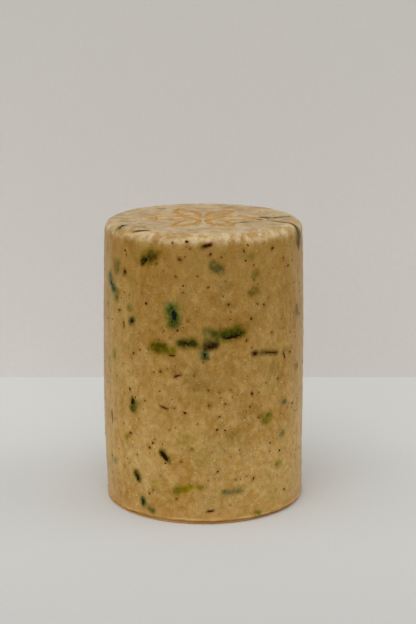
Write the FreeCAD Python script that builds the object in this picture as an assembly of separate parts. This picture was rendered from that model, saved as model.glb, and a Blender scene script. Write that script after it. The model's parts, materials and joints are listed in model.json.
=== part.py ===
"""Tall cast shaving soap with dried herbs, standing on its flat base.

The soap is a slightly barrelled cylinder with a rounded top edge, a small rounded base edge and an
impressed six-petal rosette on its top face. Dried leaves, petals, stems and specks lie in its skin and
inside it. Each one fills its own pocket, flush with the skin, so no two solids overlap.

Frame: millimetres, origin at the centre of the base, +Z up. Azimuth is in degrees about +Z, 0 towards
-Y (the front) and positive towards +X. A piece's turn is in degrees, anticlockwise from level as seen
from outside.
"""
import FreeCAD
import Part
import math
import os
from collections import namedtuple
from functools import lru_cache

from FreeCAD import Matrix, Vector

# ---- Soap body -------------------------------------------------------------------------------------
HEIGHT = 68.2
DIAMETER = 48.2             # at the belly, the widest ring
BELLY_HEIGHT = 26.0         # height of the belly above the base
BASE_TAPER = 0.3            # how much smaller the radius is at the base than at the belly
TOP_TAPER = 0.7             # how much smaller the radius is at the top than at the belly
TOP_EDGE_RADIUS = 2.6
BASE_EDGE_RADIUS = 0.9

# ---- Impressed rosette -----------------------------------------------------------------------------
PETAL_COUNT = 6
PETAL_START = 2.4           # from the axis to a petal's inner tip
PETAL_LENGTH = 10.6
PETAL_WIDTH = 4.3
GROOVE_WIDTH = 1.4
GROOVE_DEPTH = 0.7

# ---- Herbs -----------------------------------------------------------------------------------------
LEAF_THICKNESS = 0.35
STEM_THICKNESS = 0.5
BLADE_WIDTH = 1.1
BLADE_TOP_START = (16.2, -3.8)      # x and y of the blade's end on the top face
BLADE_EDGE_AZIMUTH = 64.0           # where the blade crosses the top edge
BLADE_DROP = 6.0                    # how far the blade hangs down the side
BLADE_END_AZIMUTH = 72.0
SPECK_COUNT = 64            # the even scatter, besides those in FRONT_SPECKS
SPECK_LENGTH = 0.8
SPECK_WIDTH = 0.4
SPECK_THICKNESS = 0.3
PIECE_GAP = 0.5             # least distance between a speck and a leaf or stem
REACH = 3.0                 # how far a cutting prism runs past the skin on each side

GOLDEN_ANGLE = 137.508
GOLDEN_SHARE = 0.618034

# A piece on the side: level is its height as a share of HEIGHT, depth is how far it lies below the skin.
SidePiece = namedtuple("SidePiece", "azimuth level length width turn depth")
# A piece on the top face: inset is the distance from its centre to the rim.
TopPiece = namedtuple("TopPiece", "azimuth inset length width turn depth")

DARK_LEAVES = [
    SidePiece(-33.5, 0.912, 3.4, 2.0, 35, 0.0),
    SidePiece(-16, 0.730, 3.6, 0.9, -84, 0.0),
    SidePiece(-64, 0.802, 4.4, 1.2, -50, 0.0),
    SidePiece(-43, 0.692, 1.4, 0.9, 70, 0.0),
    SidePiece(-9, 0.637, 3.7, 1.1, 5, 0.0),
    SidePiece(16, 0.662, 5.4, 1.6, 8, 0.0),
    SidePiece(0.8, 0.598, 1.6, 0.8, -85, 0.0),
    SidePiece(-43, 0.411, 2.6, 1.3, 80, 0.0),
    SidePiece(-22, 0.238, 3.6, 1.4, -48, 0.0),
    SidePiece(-40, 0.143, 2.6, 1.0, -62, 0.0),
    SidePiece(-36.5, 0.060, 1.7, 0.8, -75, 0.0),
    TopPiece(-60, 1.9, 2.2, 0.7, 40, 0.0),
    TopPiece(92, 8.6, 1.8, 0.9, 34, 0.0),
]
OLIVE_LEAVES = [
    SidePiece(-25, 0.616, 3.8, 1.6, 0, 0.0),
    SidePiece(4, 0.674, 3.0, 1.3, 0, 0.6),
    SidePiece(29, 0.803, 2.4, 0.8, 20, 0.0),
    SidePiece(27, 0.925, 1.7, 1.2, 0, 0.3),
    SidePiece(30, 0.862, 1.6, 1.3, 30, 0.3),
    SidePiece(66, 0.707, 1.9, 0.9, -80, 0.0),
    SidePiece(-60, 0.555, 1.5, 0.7, -80, 0.0),
    SidePiece(-48, 0.281, 1.3, 1.0, 0, 0.3),
    SidePiece(-10, 0.127, 3.6, 1.0, 15, 0.0),
    SidePiece(15, 0.115, 4.6, 0.9, 3, 0.0),
    SidePiece(38, 0.357, 2.8, 2.0, 25, 0.4),
    SidePiece(47, 0.182, 1.5, 1.0, 0, 0.2),
    SidePiece(32, 0.022, 1.6, 1.0, 0, 0.0),
    TopPiece(92, 5.6, 7.4, 1.2, 34, 0.0),
    TopPiece(56, 12.4, 4.2, 0.6, 27, 0.0),
    TopPiece(-48, 3.7, 3.0, 0.7, 0, 0.0),
]
BLUE_PETALS = [
    SidePiece(7, 0.893, 3.8, 2.0, -28, 0.2),
    SidePiece(-31, 0.038, 2.0, 1.0, -25, 0.0),
    SidePiece(50, 0.286, 1.7, 1.0, 25, 0.0),
    SidePiece(52, 0.398, 1.8, 1.0, 0, 0.2),
    SidePiece(-61, 0.171, 1.1, 0.7, 0, 0.0),
    SidePiece(66, 0.505, 1.3, 1.0, 0, 0.2),
    TopPiece(-143, 6.5, 1.4, 1.0, 0, 0.0),
    TopPiece(156, 7.6, 1.4, 1.0, 0, 0.0),
]
RED_PETALS = [
    SidePiece(2, 0.966, 2.5, 0.6, 18, 0.0),
    SidePiece(4, 0.626, 2.9, 0.9, 6, 0.0),
    SidePiece(29.4, 0.592, 1.6, 1.3, 0, 0.0),
    TopPiece(79, 9.8, 1.3, 0.8, 0, 0.0),
]
STEMS = [
    SidePiece(-50, 0.673, 1.7, 0.3, -80, 0.0),
    SidePiece(40.4, 0.586, 5.2, 0.5, -10, 0.0),
    SidePiece(51.4, 0.563, 2.0, 0.5, -70, 0.0),
    SidePiece(-17, 0.593, 1.7, 0.4, 0, 0.0),
    SidePiece(-14, 0.524, 1.9, 0.4, 25, 0.0),
    SidePiece(-64, 0.326, 3.3, 0.5, -85, 0.0),
    SidePiece(-22, 0.410, 2.3, 0.4, -18, 0.0),
    SidePiece(4, 0.049, 2.1, 0.5, 5, 0.0),
    TopPiece(-40, 1.9, 4.4, 0.4, -20, 0.0),
]

# Azimuth and level of the specks that catch the eye on the front.
FRONT_SPECKS = [
    (-7, 0.955), (-9, 0.977), (-17, 0.972), (-13, 0.919), (-11, 0.831), (-11, 0.809), (-15, 0.862),
    (-3, 0.865), (4, 0.938), (10, 0.927), (24, 0.911), (29, 0.893), (29, 0.843), (51, 0.901), (42, 0.942),
    (14, 0.768), (31, 0.761), (11, 0.797), (-45, 0.780), (-49, 0.856), (-33, 0.761), (-54, 0.717),
    (27, 0.713), (41, 0.655), (-14, 0.680), (-42, 0.582), (-24, 0.533), (-28, 0.528), (-20, 0.545),
    (-45, 0.452), (3, 0.476), (37, 0.483), (46, 0.489), (32, 0.455), (-34, 0.424), (3, 0.424),
    (12, 0.427), (-10, 0.397), (9, 0.384), (-3, 0.360), (32, 0.367), (12, 0.335), (-29, 0.279),
    (-31, 0.260), (-40, 0.225), (8, 0.191), (21, 0.156), (25, 0.164), (48, 0.229), (46, 0.141),
    (-32, 0.094), (-15, 0.089), (40, 0.237), (-49, 0.928),
]

BELLY_RADIUS = DIAMETER / 2
BASE_RADIUS = BELLY_RADIUS - BASE_TAPER
TOP_RADIUS = BELLY_RADIUS - TOP_TAPER
SIDE_ARC = Part.ArcOfCircle(
    Vector(BASE_RADIUS, 0, 0), Vector(BELLY_RADIUS, 0, BELLY_HEIGHT), Vector(TOP_RADIUS, 0, HEIGHT))


def side_radius(z):
    """Radius of the side at a height, on the arc through the base, belly and top."""
    rise = z - SIDE_ARC.Center.z
    return SIDE_ARC.Center.x + math.sqrt(SIDE_ARC.Radius ** 2 - rise ** 2)


def outward(azimuth):
    """Unit vector that points away from the axis at an azimuth."""
    angle = math.radians(azimuth)
    return Vector(math.sin(angle), -math.cos(angle), 0)


def local_frame(origin, along, normal):
    """Matrix from a flat outline's frame to the soap's: its x runs along, its z is the normal."""
    across = normal.cross(along)
    return Matrix(along.x, across.x, normal.x, origin.x,
                  along.y, across.y, normal.y, origin.y,
                  along.z, across.z, normal.z, origin.z,
                  0, 0, 0, 1)


@lru_cache(maxsize=None)
def blank(inset):
    """The plain soap, its whole skin moved inwards by inset."""
    low, high = inset, HEIGHT - inset
    corners = [Vector(0, 0, low), Vector(side_radius(low) - inset, 0, low),
               Vector(side_radius(high) - inset, 0, high), Vector(0, 0, high)]
    middle = Vector(side_radius(HEIGHT / 2) - inset, 0, HEIGHT / 2)
    edges = [Part.LineSegment(corners[0], corners[1]).toShape(),
             Part.Arc(corners[1], middle, corners[2]).toShape(),
             Part.LineSegment(corners[2], corners[3]).toShape(),
             Part.LineSegment(corners[3], corners[0]).toShape()]
    solid = Part.Face(Part.Wire(edges)).revolve(Vector(0, 0, 0), Vector(0, 0, 1), 360)
    for z, edge_radius in ((low, BASE_EDGE_RADIUS - inset), (high, TOP_EDGE_RADIUS - inset)):
        if edge_radius > 0:
            rim = [edge for edge in solid.Edges if is_level_circle(edge, z)]
            solid = solid.makeFillet(edge_radius, rim)
    return solid


def is_level_circle(edge, z):
    """True for an edge that lies wholly at one height."""
    box = edge.BoundBox
    return abs(box.ZMin - z) < 1e-4 and abs(box.ZMax - z) < 1e-4


def skin_layer(shape, depth, thickness):
    """The part of a shape that lies between two depths below the skin."""
    return shape.common(blank(depth)).cut(blank(depth + thickness)).Solids[0]


def leaf_outline(length, width):
    """Pointed oval face: two arcs that meet at its tips, centred on the origin."""
    tips = Vector(-length / 2, 0, 0), Vector(length / 2, 0, 0)
    arcs = [Part.Arc(tips[0], Vector(0, side * width / 2, 0), tips[1]).toShape() for side in (1, -1)]
    return Part.Face(Part.Wire(arcs))


def stem_outline(length, width):
    """Plain straight strip, centred on the origin."""
    corners = [Vector(x * length / 2, y * width / 2, 0) for x, y in ((-1, -1), (1, -1), (1, 1), (-1, 1))]
    return Part.Face(Part.makePolygon(corners + corners[:1]))


def place_of(piece):
    """Matrix that carries a flat outline to the piece's place on the skin."""
    turn = math.radians(piece.turn)
    if isinstance(piece, SidePiece):
        normal = outward(piece.azimuth)
        level_way = Vector(0, 0, 1).cross(normal)
        up_way = Vector(0, 0, 1)
        z = piece.level * HEIGHT
        origin = normal * side_radius(z) + Vector(0, 0, z)
    else:
        normal = Vector(0, 0, 1)
        level_way = Vector(1, 0, 0)
        up_way = Vector(0, 1, 0)
        origin = outward(piece.azimuth) * (TOP_RADIUS - piece.inset) + Vector(0, 0, HEIGHT)
    along = level_way * math.cos(turn) + up_way * math.sin(turn)
    return local_frame(origin, along, normal)


def herb(piece, outline, thickness):
    """One flush piece: its outline carried through the skin, between two depths."""
    prism = outline(piece.length, piece.width).extrude(Vector(0, 0, 2 * REACH))
    prism.translate(Vector(0, 0, -REACH))
    return skin_layer(prism.transformGeometry(place_of(piece)), piece.depth, thickness)


def leaf(piece):
    return herb(piece, leaf_outline, LEAF_THICKNESS)


def stem(piece):
    return herb(piece, stem_outline, STEM_THICKNESS)


def rim_blade():
    """A grass blade in the skin: along the top face, over the top edge and down the side."""
    start = Vector(BLADE_TOP_START[0], BLADE_TOP_START[1], HEIGHT)
    crossing = outward(BLADE_EDGE_AZIMUTH) * TOP_RADIUS + Vector(0, 0, HEIGHT)
    end_z = HEIGHT - BLADE_DROP
    end = outward(BLADE_END_AZIMUTH) * side_radius(end_z) + Vector(0, 0, end_z)
    normal = (crossing - start).cross(end - crossing).normalize()
    corners = [
        start,
        crossing + outward(BLADE_EDGE_AZIMUTH) * REACH,
        end + outward(BLADE_END_AZIMUTH) * REACH,
        end - outward(BLADE_END_AZIMUTH) * REACH,
        start - Vector(0, 0, REACH),
    ]
    flat = [corner - normal * normal.dot(corner - start) for corner in corners]
    slab = Part.Face(Part.makePolygon(flat + flat[:1])).extrude(normal * BLADE_WIDTH)
    slab.translate(normal * (-BLADE_WIDTH / 2))
    return skin_layer(slab, 0.0, LEAF_THICKNESS)


def rosette():
    """Grooves of the impressed ornament: a ring of petal outlines round the axis."""
    half_length, half_width = PETAL_LENGTH / 2, PETAL_WIDTH / 2
    arc_radius = (half_length ** 2 + half_width ** 2) / (2 * half_width)
    centre_offset = arc_radius - half_width

    def petal(radius):
        length = 2 * math.sqrt(radius ** 2 - centre_offset ** 2)
        return leaf_outline(length, 2 * (radius - centre_offset)).extrude(Vector(0, 0, GROOVE_DEPTH + 1))

    groove = petal(arc_radius + GROOVE_WIDTH / 2).cut(petal(arc_radius - GROOVE_WIDTH / 2))
    groove.translate(Vector(PETAL_START + half_length, 0, HEIGHT - GROOVE_DEPTH))
    grooves = []
    for step in range(PETAL_COUNT):
        copy = groove.copy()
        copy.rotate(Vector(0, 0, 0), Vector(0, 0, 1), step * 360 / PETAL_COUNT)
        grooves.append(copy)
    return Part.makeCompound(grooves)


def scatter(count, first_azimuth, last_azimuth, low, high, phase):
    """Evenly mixed places on the side: azimuth and level pairs inside a band."""
    for step in range(count):
        share = (phase + step * GOLDEN_SHARE) % 1
        level = low + (high - low) * (step + 0.5) / count
        yield first_azimuth + (last_azimuth - first_azimuth) * share, level


def rear_pieces(count, length, width, phase):
    """Pieces on the side away from the front, with mixed turns and sizes."""
    pieces = []
    for step, (azimuth, level) in enumerate(scatter(count, 95, 265, 0.05, 0.93, phase)):
        size = 0.75 + 0.5 * ((step * GOLDEN_SHARE) % 1)
        turn = (step * GOLDEN_ANGLE) % 180
        pieces.append(SidePiece(azimuth, level, length * size, width * size, turn, 0.0))
    return pieces


def is_clear(azimuth, z, pieces):
    """True where a speck keeps PIECE_GAP from every side piece."""
    for piece in pieces:
        turn = (azimuth - piece.azimuth + 180) % 360 - 180
        arc = math.radians(turn) * side_radius(z)
        reach = (piece.length + SPECK_LENGTH) / 2 + PIECE_GAP
        if math.hypot(arc, z - piece.level * HEIGHT) < reach:
            return False
    return True


def speck(step, azimuth, level):
    """A splinter whose length and turn vary from one to the next."""
    size = 0.6 + 0.7 * ((step * GOLDEN_SHARE) % 1)
    return SidePiece(azimuth, level, SPECK_LENGTH * size, SPECK_WIDTH, (step * 53) % 180, 0.0)


def brown_specks(herbs):
    """Small splinters: the front ones, then a scatter that moves round the soap until it is clear."""
    specks = [speck(step, azimuth, level) for step, (azimuth, level) in enumerate(FRONT_SPECKS)]
    for step in range(SPECK_COUNT):
        azimuth = step * GOLDEN_ANGLE
        level = 0.03 + 0.92 * (step + 0.5) / SPECK_COUNT
        while not is_clear(azimuth, level * HEIGHT, herbs + specks):
            azimuth += 3.0
        specks.append(speck(step, azimuth, level))
    return [herb(spot, stem_outline, SPECK_THICKNESS) for spot in specks]


def inner_pieces(count, outline, length, width, thickness, phase):
    """Pieces sealed inside the soap, spread round its axis at mixed depths and tilts."""
    solids = []
    for step in range(count):
        radius = TOP_RADIUS * (0.25 + 0.5 * ((phase + step * 0.414) % 1))
        z = HEIGHT * (0.1 + 0.8 * (step + phase) / count)
        solid = outline(length, width).extrude(Vector(0, 0, thickness))
        solid.rotate(Vector(0, 0, 0), Vector(1, 1, 0), (step * 67) % 180)
        solid.translate(outward(phase * 180 + step * GOLDEN_ANGLE) * radius + Vector(0, 0, z))
        solids.append(solid)
    return solids


def all_herbs():
    """Every node but the soap: name to list of solids."""
    nodes = {}
    for kind, pieces, make in (("dark_leaf", DARK_LEAVES, leaf), ("olive_leaf", OLIVE_LEAVES, leaf),
                               ("blue_petal", BLUE_PETALS, leaf), ("red_petal", RED_PETALS, leaf),
                               ("stem", STEMS, stem)):
        for number, piece in enumerate(pieces, 1):
            nodes["%s_%02d" % (kind, number)] = [make(piece)]
    nodes["rim_blade"] = [rim_blade()]

    rear_leaves = rear_pieces(12, 3.0, 1.3, 0.10)
    rear_petals = rear_pieces(6, 2.0, 1.2, 0.47)
    rear_stems = rear_pieces(7, 2.6, 0.45, 0.81)
    nodes["rear_leaves"] = [leaf(piece) for piece in rear_leaves]
    nodes["rear_petals"] = [leaf(piece) for piece in rear_petals]
    nodes["rear_stems"] = [stem(piece) for piece in rear_stems]

    listed = DARK_LEAVES + OLIVE_LEAVES + BLUE_PETALS + RED_PETALS + STEMS
    on_side = [piece for piece in listed if isinstance(piece, SidePiece)]
    nodes["brown_specks"] = brown_specks(on_side + rear_leaves + rear_petals + rear_stems)

    nodes["inner_leaves"] = inner_pieces(20, leaf_outline, 4.0, 1.8, LEAF_THICKNESS, 0.2)
    nodes["inner_stems"] = inner_pieces(9, stem_outline, 4.0, 0.6, STEM_THICKNESS, 0.6)
    return nodes


def main():
    os.makedirs("parts", exist_ok=True)
    nodes = all_herbs()
    pockets = [solid for solids in nodes.values() for solid in solids]
    soap = blank(0.0).cut(rosette()).cut(pockets)
    nodes["soap_body"] = soap.Solids
    for name, solids in nodes.items():
        shape = solids[0] if len(solids) == 1 else Part.makeCompound(solids)
        shape.exportStep("parts/%s.step" % name)
    print("%d nodes, soap volume %.1f mm3" % (len(nodes), soap.Volume))


if __name__ == "__main__":
    main()
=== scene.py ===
"""The looks of a tall cast shaving soap with dried herbs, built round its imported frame.

Everything is in metres in the frame's own axes: +Z up, the front towards -Y. The soap is one surface
worked out on a grid, and every leaf, petal, stem and speck is a small closed shape laid on that surface.
"""
import json
import math
from collections import namedtuple

import bpy
import numpy as np
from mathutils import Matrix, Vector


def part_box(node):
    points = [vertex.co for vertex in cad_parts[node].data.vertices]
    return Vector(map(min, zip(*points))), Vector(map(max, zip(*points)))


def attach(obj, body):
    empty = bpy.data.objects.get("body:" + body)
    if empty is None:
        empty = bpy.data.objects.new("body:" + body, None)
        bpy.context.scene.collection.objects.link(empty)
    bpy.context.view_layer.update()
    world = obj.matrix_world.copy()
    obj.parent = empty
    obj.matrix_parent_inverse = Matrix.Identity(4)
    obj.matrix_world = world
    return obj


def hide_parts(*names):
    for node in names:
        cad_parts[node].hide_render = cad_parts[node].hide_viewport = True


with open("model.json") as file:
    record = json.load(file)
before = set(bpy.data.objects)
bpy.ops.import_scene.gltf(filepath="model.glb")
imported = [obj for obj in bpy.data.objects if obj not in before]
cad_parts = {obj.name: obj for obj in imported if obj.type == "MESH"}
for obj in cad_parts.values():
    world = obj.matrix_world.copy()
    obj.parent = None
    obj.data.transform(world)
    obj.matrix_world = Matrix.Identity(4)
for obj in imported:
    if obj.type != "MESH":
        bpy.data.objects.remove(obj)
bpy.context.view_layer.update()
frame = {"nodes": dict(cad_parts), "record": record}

bl_info = {
    "name": "Herb Shaving Soap",
    "version": (1, 0, 0),
    "blender": (4, 5, 0),
    "location": "View3D > Sidebar > Soap",
    "description": "Builds a tall cast shaving soap with dried herbs around its frame",
    "category": "Add Mesh",
}

MM = 0.001
NODES = frame["nodes"]
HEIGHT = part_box("soap_body")[1].z
BELLY_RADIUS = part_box("soap_body")[1].x

# How each kind of herb colours the soap round it: the share of red, green and blue light that gets
# through the stain's middle, how far it spreads (mm), where its middle is shifted to (mm right, mm up),
# and how much of the piece shows bare above the skin.
KIND_STAIN = {
    "dark_leaf": ((0.16, 0.20, 0.08), 0.50, (0.0, 0.0), 0.9),
    "olive_leaf": ((0.46, 0.55, 0.24), 0.60, (0.0, 0.0), 0.0),
    "blue_petal": ((0.38, 0.48, 0.40), 0.50, (0.0, 0.0), 0.0),
    "red_petal": ((0.30, 0.18, 0.12), 0.28, (0.0, 0.0), 0.9),
    "stem": ((0.45, 0.34, 0.26), 0.20, (0.0, 0.0), 0.9),
}
# The pieces that differ from their kind.
PIECE_STAIN = {
    "dark_leaf_01": ((0.26, 0.32, 0.05), 0.75, (0.9, 0.5), 0.8),
    "dark_leaf_02": ((0.14, 0.34, 0.10), 0.95, (-0.3, -0.1), 0.75),
    "dark_leaf_03": ((0.18, 0.34, 0.12), 0.80, (0.2, 0.0), 0.8),
    "dark_leaf_05": ((0.14, 0.20, 0.04), 0.65, (0.0, 0.0), 0.45),
    "dark_leaf_06": ((0.20, 0.34, 0.05), 0.80, (-0.2, 0.5), 0.75),
    "dark_leaf_07": ((0.12, 0.25, 0.18), 0.55, (0.0, 0.0), 0.3),
    "dark_leaf_08": ((0.20, 0.25, 0.06), 0.60, (0.3, -0.8), 0.9),
    "dark_leaf_09": ((0.30, 0.32, 0.08), 0.35, (0.1, 0.1), 1.0),
    "dark_leaf_10": ((0.17, 0.19, 0.06), 0.50, (-0.1, 0.3), 0.7),
    "dark_leaf_11": ((0.12, 0.20, 0.10), 0.50, (0.1, -0.1), 0.5),
    "olive_leaf_01": ((0.27, 0.34, 0.02), 0.75, (-0.1, 0.0), 0.0),
    "olive_leaf_02": ((0.40, 0.53, 0.36), 0.70, (0.0, 0.0), 0.0),
    "olive_leaf_03": ((0.66, 0.74, 0.50), 0.80, (0.0, 0.0), 0.0),
    "olive_leaf_04": ((0.62, 0.70, 0.40), 0.60, (0.0, 0.0), 0.0),
    "olive_leaf_05": ((0.56, 0.68, 0.32), 0.60, (0.0, 0.0), 0.0),
    "olive_leaf_08": ((0.62, 0.66, 0.28), 0.70, (0.0, 0.0), 0.0),
    "olive_leaf_09": ((0.58, 0.64, 0.10), 0.65, (0.0, 0.0), 0.0),
    "olive_leaf_10": ((0.40, 0.50, 0.50), 0.50, (0.9, 0.1), 0.0),
    "olive_leaf_11": ((0.42, 0.55, 0.18), 0.75, (0.0, 0.0), 0.0),
    "olive_leaf_14": ((0.45, 0.48, 0.24), 0.40, (0.0, 0.0), 0.3),
    "olive_leaf_15": ((0.40, 0.42, 0.28), 0.25, (0.0, 0.0), 0.6),
    "blue_petal_01": ((0.30, 0.39, 0.28), 0.55, (0.3, -0.1), 0.0),
    "red_petal_02": ((0.24, 0.22, 0.08), 0.45, (0.0, 0.0), 0.8),
    "stem_02": ((0.36, 0.38, 0.26), 0.40, (-0.6, 0.1), 0.8),
    "rim_blade": ((0.45, 0.42, 0.20), 0.40, (0.0, 0.0), 0.5),
    "brown_specks": ((0.62, 0.44, 0.30), 0.30, (0.0, 0.0), 0.9),
}
# The bare flakes that differ from the plain ones: share of the length and width, shift across (mm), and
# number of crumbs.
FLAKE_FORM = {
    "dark_leaf_01": (0.42, 0.50, -0.25, 14),
    "dark_leaf_02": (1.0, 1.5, 0.0, 5),
    "dark_leaf_03": (0.45, 0.60, 0.0, 4),
    "dark_leaf_05": (0.62, 0.50, 0.0, 9),
    "dark_leaf_06": (0.97, 0.58, -0.32, 16),
    "dark_leaf_07": (0.95, 0.80, 0.0, 4),
    "dark_leaf_09": (1.02, 1.15, 0.0, 5),
    "red_petal_01": (0.80, 0.70, 0.0, 9),
    "red_petal_02": (0.88, 0.75, 0.0, 9),
    "red_petal_03": (0.80, 0.72, 0.0, 3),
}
# Faint stains from herbs too deep to see: azimuth in degrees, height as a share of the whole, length and
# width (mm), turn in degrees, the light let through, and the spread (mm).
DEEP_STAINS = (
    (-57, 0.866, 2.8, 1.5, 84, (0.44, 0.52, 0.16), 0.9),
    (-57, 0.768, 2.4, 1.0, 70, (0.46, 0.58, 0.15), 0.7),
    (-19, 0.611, 2.6, 1.2, -10, (0.50, 0.62, 0.10), 0.7),
    (4, 0.640, 3.2, 1.6, 10, (0.46, 0.50, 0.34), 0.9),
    (-3, 0.631, 1.6, 0.8, -20, (0.56, 0.62, 0.34), 0.6),
    (-15, 0.118, 1.5, 1.0, 60, (0.46, 0.62, 0.26), 0.5),
    (-2, 0.138, 1.5, 0.9, 20, (0.66, 0.74, 0.34), 0.6),
    (-45, 0.735, 1.5, 1.1, 0, (0.60, 0.70, 0.45), 0.6),
    (-6, 0.497, 3.4, 1.0, -40, (0.74, 0.78, 0.66), 0.7),
    (18, 0.317, 4.0, 2.4, 0, (0.86, 0.89, 0.88), 1.2),
    (0, 0.235, 3.4, 2.4, 20, (0.90, 0.95, 0.86), 1.2),
    (-28, 0.131, 1.6, 1.4, 0, (0.80, 0.88, 0.50), 0.7),
    (28, 0.805, 2.0, 1.4, 30, (0.66, 0.62, 0.46), 0.6),
    (67, 0.700, 2.6, 0.8, 90, (0.70, 0.82, 0.62), 0.6),
    (-50, 0.852, 1.5, 0.8, 70, (0.56, 0.50, 0.36), 0.4),
    (-42, 0.388, 1.5, 0.9, 80, (0.52, 0.58, 0.36), 0.6),
    (-35, 0.902, 1.7, 0.8, 60, (0.26, 0.24, 0.08), 0.35),
    (-26, 0.930, 1.8, 1.2, 30, (0.70, 0.66, 0.36), 0.7),
    (-44, 0.570, 2.0, 1.2, 80, (0.78, 0.76, 0.62), 0.8),
)
CLOUD_COUNT = 84            # faint clouds of herb colour, at random places on the side
CLOUD_TINTS = ((0.78, 0.82, 0.70), (0.84, 0.89, 0.72), (0.84, 0.78, 0.70), (0.80, 0.82, 0.80))
STAIN_REACH = 6 * MM        # how far from a piece's own plane its stain can be seen
WIDE_SPREAD = 1.3           # the wide pass of a stain, as a share of its spread
NARROW_SPREAD = 0.7         # the narrow pass
BARE_CORE = 0.2             # the narrow pass's share of the stain round a bare flake
SUNK_CORE = 0.5             # the same over a piece that shows no bare flake
LEVEL_LIMIT = 0.2           # below this, a place is on the top or base, and its right is +X
WELD = 0.002 * MM           # vertices are put on a grid this fine, and those in one place are one corner
TINY = 1e-9                 # keeps a division by a length of nothing safe

SOAP_COLUMNS = 352          # columns of the soap's grid, round its axis
DUST_COUNT = 480            # grains of herb dust besides the frame's own specks
DUST_ON_TOP = 9             # one grain in this many lies on the top face
SPECK_SIDES = 8             # corners round a speck
BLADE_LENGTH = 12 * MM      # the rim blade's length in its fibres' measure
BLADE_HALF = 0.5 * MM       # its greatest half width
FLAKE_TUCK = 0.09 * MM      # how far a flake's rim runs under the skin
FLAKE_DEPTH = 0.16 * MM     # thickness of a flake's underside at its middle


def length_setting(name, description, default):
    """A length that can be changed in the panel."""
    return bpy.props.FloatProperty(
        name=name, description=description, default=default, precision=5, subtype="DISTANCE")


def colour_setting(name, description, red, green, blue):
    """A colour that can be changed in the panel."""
    return bpy.props.FloatVectorProperty(
        name=name, description=description, subtype="COLOR", size=4, default=(red, green, blue, 1.0))


def power_setting(name, description, default):
    """A light's power that can be changed in the panel."""
    return bpy.props.FloatProperty(name=name, description=description, default=default, unit="POWER")


class SoapShape(bpy.types.PropertyGroup):
    """Sizes of the cast body that its looks need."""
    belly_height: length_setting("Belly Height", "Height of the widest ring", 26.0 * MM)
    base_taper: length_setting("Base Taper", "How much smaller the radius is at the base", 0.3 * MM)
    top_taper: length_setting("Top Taper", "How much smaller the radius is at the top", 0.7 * MM)
    top_edge: length_setting("Top Edge", "Radius of the rounded top edge", 2.6 * MM)
    base_edge: length_setting("Base Edge", "Radius of the rounded base edge", 0.9 * MM)
    dent_depth: length_setting("Dent Depth", "Depth of the broad hollows of the side", 0.03 * MM)
    lean: length_setting("Lean", "How far the side's foot stands to the right of the axis", 0.28 * MM)
    drag_depth: length_setting("Drag Depth", "Depth of the mould's upright marks", 0.035 * MM)
    groove_depth: length_setting("Groove Depth", "Depth of the pressed rosette", 0.65 * MM)
    groove_width: length_setting("Groove Width", "Width of the pressed rosette's lines", 1.55 * MM)
    petal_start: length_setting("Petal Start", "From the axis to a petal's inner tip", 2.4 * MM)
    petal_length: length_setting("Petal Length", "Length of a rosette petal", 10.6 * MM)
    petal_width: length_setting("Petal Width", "Width of a rosette petal", 4.3 * MM)
    petal_count: bpy.props.IntProperty(
        name="Petals", description="Number of rosette petals", default=6, min=3)


class SoapColours(bpy.types.PropertyGroup):
    """Colours of the soap."""
    tan: colour_setting("Tan", "The soap's main colour", 0.356, 0.208, 0.051)
    cream: colour_setting("Cream", "The paler clouds", 0.43, 0.275, 0.090)
    amber: colour_setting("Amber", "The browner clouds", 0.305, 0.160, 0.029)
    olive: colour_setting("Olive", "The greener clouds", 0.27, 0.182, 0.040)
    russet: colour_setting("Russet", "The redder clouds", 0.29, 0.138, 0.021)
    rust: colour_setting("Rust", "The fine rusty grains", 0.15, 0.055, 0.011)
    fleck: colour_setting("Fleck", "The fine pale grains", 0.72, 0.55, 0.30)
    frost: colour_setting("Frost", "The thin pale wisps", 0.62, 0.46, 0.24)
    bubble_rim: colour_setting("Bubble Rim", "The ring round a bubble", 0.60, 0.46, 0.25)
    bubble_pit: colour_setting("Bubble Pit", "The middle of a bubble", 0.045, 0.016, 0.004)
    peach: colour_setting("Peach", "The warmer soap near the foot", 0.50, 0.265, 0.080)
    ridge: colour_setting("Ridge", "The pale line above the lip", 0.62, 0.42, 0.18)
    # Lip: painted shade, a dark line in the crease under the lip on the down-turned base edge.
    lip: colour_setting("Lip", "The dark line at the lip", 0.13, 0.052, 0.008)
    # Contact: painted glow, a bright orange at the shaded foot that stands in for light passing through the
    # soap.
    contact: colour_setting("Contact", "The clear soap next to the floor", 0.80, 0.36, 0.055)
    # Bloom: partly a dry film, partly painted sheen for the bright room reflected on the top and its rim.
    bloom: colour_setting("Bloom", "The dry film on the top and its edge", 0.67, 0.56, 0.37)
    # Honey: the clear golden soap in the pressed lines, made paler with painted light where their walls
    # face the lamps.
    honey: colour_setting("Honey", "The clear soap in the pressed lines", 0.55, 0.285, 0.042)
    # The dark borders of the pressed lines are painted shade on the groove walls.
    brink: colour_setting("Brink", "The dark borders of the pressed lines", 0.26, 0.105, 0.020)


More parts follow.
